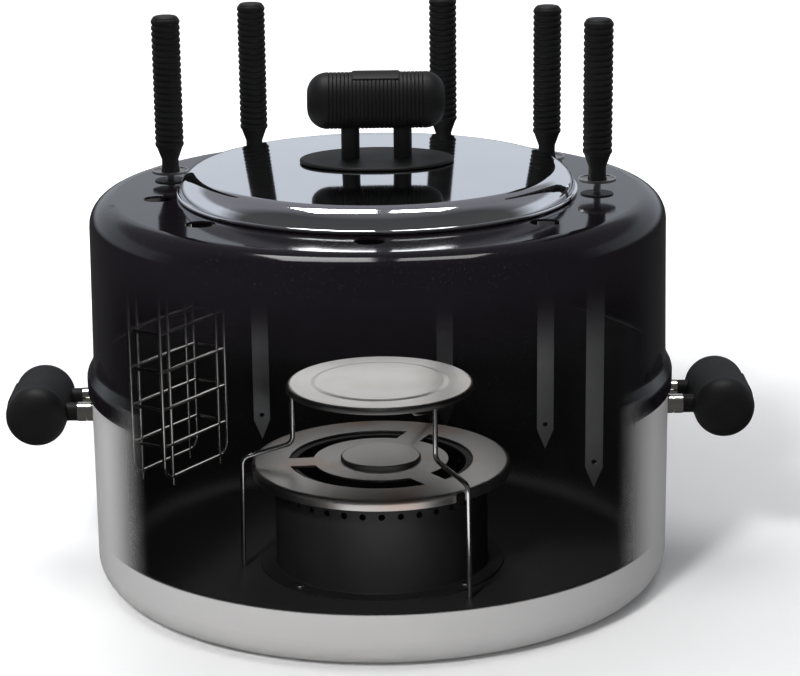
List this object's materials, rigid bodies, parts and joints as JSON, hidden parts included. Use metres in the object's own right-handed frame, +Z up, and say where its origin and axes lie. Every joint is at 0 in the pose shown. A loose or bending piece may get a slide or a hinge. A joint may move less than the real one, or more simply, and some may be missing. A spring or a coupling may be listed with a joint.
{
  "type": "stovetop vertical skewer roaster",
  "caption": "Round stovetop roaster: pan with a central flue, tall enamelled shell, domed lid, upright hand-turned skewers and a wire basket hung through its top.",
  "frame": {"origin": "on the main axis at the underside of the pan, where it stands on the hob", "axes": "+Z up, +X through the right side handle, -Y towards the front, where the spare skewer holes are"},
  "size_m": [0.4144, 0.324, 0.3111],
  "materials": {
    "pan_aluminium": "satin spun aluminium outside, dark non-stick inside",
    "flue_black": "dark heat-proof coating",
    "ring_steel": "satin steel with faint heat tint",
    "deflector_steel": "satin pressed steel",
    "leg_wire": "bright drawn wire",
    "shell_enamel": "glossy dark enamel",
    "lid_chrome": "mirror polish",
    "bakelite": "satin black thermoset",
    "ferrule_chrome": "polished",
    "fastener_steel": "plain plated steel",
    "seat_black": "matt black thermoset",
    "flange_steel": "pressed steel",
    "blade_steel": "satin rolled steel",
    "basket_wire": "bright plated wire"
  },
  "bodies": {
    "base": {"base_pan": "pan_aluminium", "flue_collar": "flue_black", "flue_rivets": "fastener_steel", "left_handle_grip": "bakelite", "left_handle_ferrules": "ferrule_chrome", "left_handle_screws": "fastener_steel", "left_handle_washers": "fastener_steel", "right_handle_grip": "bakelite", "right_handle_ferrules": "ferrule_chrome", "right_handle_screws": "fastener_steel", "right_handle_washers": "fastener_steel"},
    "flame_ring": {"flame_ring": "ring_steel", "flame_cap": "ring_steel"},
    "deflector": {"deflector_plate": "deflector_steel", "deflector_leg_1": "leg_wire", "deflector_leg_2": "leg_wire", "deflector_leg_3": "leg_wire"},
    "shell": {"upper_shell": "shell_enamel"},
    "lid": {"lid_shell": "lid_chrome", "lid_knob_plate": "bakelite", "lid_knob": "bakelite", "lid_knob_screws": "fastener_steel", "lid_knob_washers": "fastener_steel"},
    "skewer_1_mount": {"skewer_1_seat": "seat_black", "skewer_1_flange": "flange_steel"},
    "skewer_1": {"skewer_1_handle": "bakelite", "skewer_1_blade": "blade_steel"},
    "skewer_2_mount": {"skewer_2_seat": "seat_black", "skewer_2_flange": "flange_steel"},
    "skewer_2": {"skewer_2_handle": "bakelite", "skewer_2_blade": "blade_steel"},
    "skewer_3_mount": {"skewer_3_seat": "seat_black", "skewer_3_flange": "flange_steel"},
    "skewer_3": {"skewer_3_handle": "bakelite", "skewer_3_blade": "blade_steel"},
    "skewer_4_mount": {"skewer_4_seat": "seat_black", "skewer_4_flange": "flange_steel"},
    "skewer_4": {"skewer_4_handle": "bakelite", "skewer_4_blade": "blade_steel"},
    "basket_mount": {"basket_seat": "seat_black", "basket_flange": "flange_steel"},
    "basket": {"basket_handle": "bakelite", "basket_stem": "basket_wire", "basket_front_leaf": "basket_wire", "basket_back_leaf": "basket_wire", "basket_clips": "basket_wire"}
  },
  "joints": [
    {"name": "shell_lift", "type": "slide", "parent": "base", "child": "shell", "axis": [0, 0, 1], "range_m": [0, 0.12]},
    {"name": "lid_lift", "type": "slide", "parent": "shell", "child": "lid", "axis": [0, 0, 1], "range_m": [0, 0.12]},
    {"name": "flame_ring_lift", "type": "slide", "parent": "base", "child": "flame_ring", "axis": [0, 0, 1], "range_m": [0, 0.045]},
    {"name": "deflector_lift", "type": "slide", "parent": "flame_ring", "child": "deflector", "axis": [0, 0, 1], "range_m": [0, 0.07]},
    {"name": "skewer_1_lift", "type": "slide", "parent": "shell", "child": "skewer_1_mount", "axis": [0, 0, 1], "range_m": [0, 0.18]},
    {"name": "skewer_1_spin", "type": "hinge", "parent": "skewer_1_mount", "child": "skewer_1", "pos_m": [0.11863, -0.01667, 0.22], "axis": [0, 0, 1], "continuous": true},
    {"name": "skewer_2_lift", "type": "slide", "parent": "shell", "child": "skewer_2_mount", "axis": [0, 0, 1], "range_m": [0, 0.18]},
    {"name": "skewer_2_spin", "type": "hinge", "parent": "skewer_2_mount", "child": "skewer_2", "pos_m": [0.09729, 0.06991, 0.22], "axis": [0, 0, 1], "continuous": true},
    {"name": "skewer_3_lift", "type": "slide", "parent": "shell", "child": "skewer_3_mount", "axis": [0, 0, 1], "range_m": [0, 0.18]},
    {"name": "skewer_3_spin", "type": "hinge", "parent": "skewer_3_mount", "child": "skewer_3", "pos_m": [0.0394, 0.11314, 0.22], "axis": [0, 0, 1], "continuous": true},
    {"name": "skewer_4_lift", "type": "slide", "parent": "shell", "child": "skewer_4_mount", "axis": [0, 0, 1], "range_m": [0, 0.18]},
    {"name": "skewer_4_spin", "type": "hinge", "parent": "skewer_4_mount", "child": "skewer_4", "pos_m": [-0.07109, 0.09643, 0.22], "axis": [0, 0, 1], "continuous": true},
    {"name": "basket_lift", "type": "slide", "parent": "shell", "child": "basket_mount", "axis": [0, 0, 1], "range_m": [0, 0.01]},
    {"name": "basket_spin", "type": "hinge", "parent": "basket_mount", "child": "basket", "pos_m": [-0.11516, 0.03302, 0.22], "axis": [0, 0, 1], "continuous": true}
  ]
}
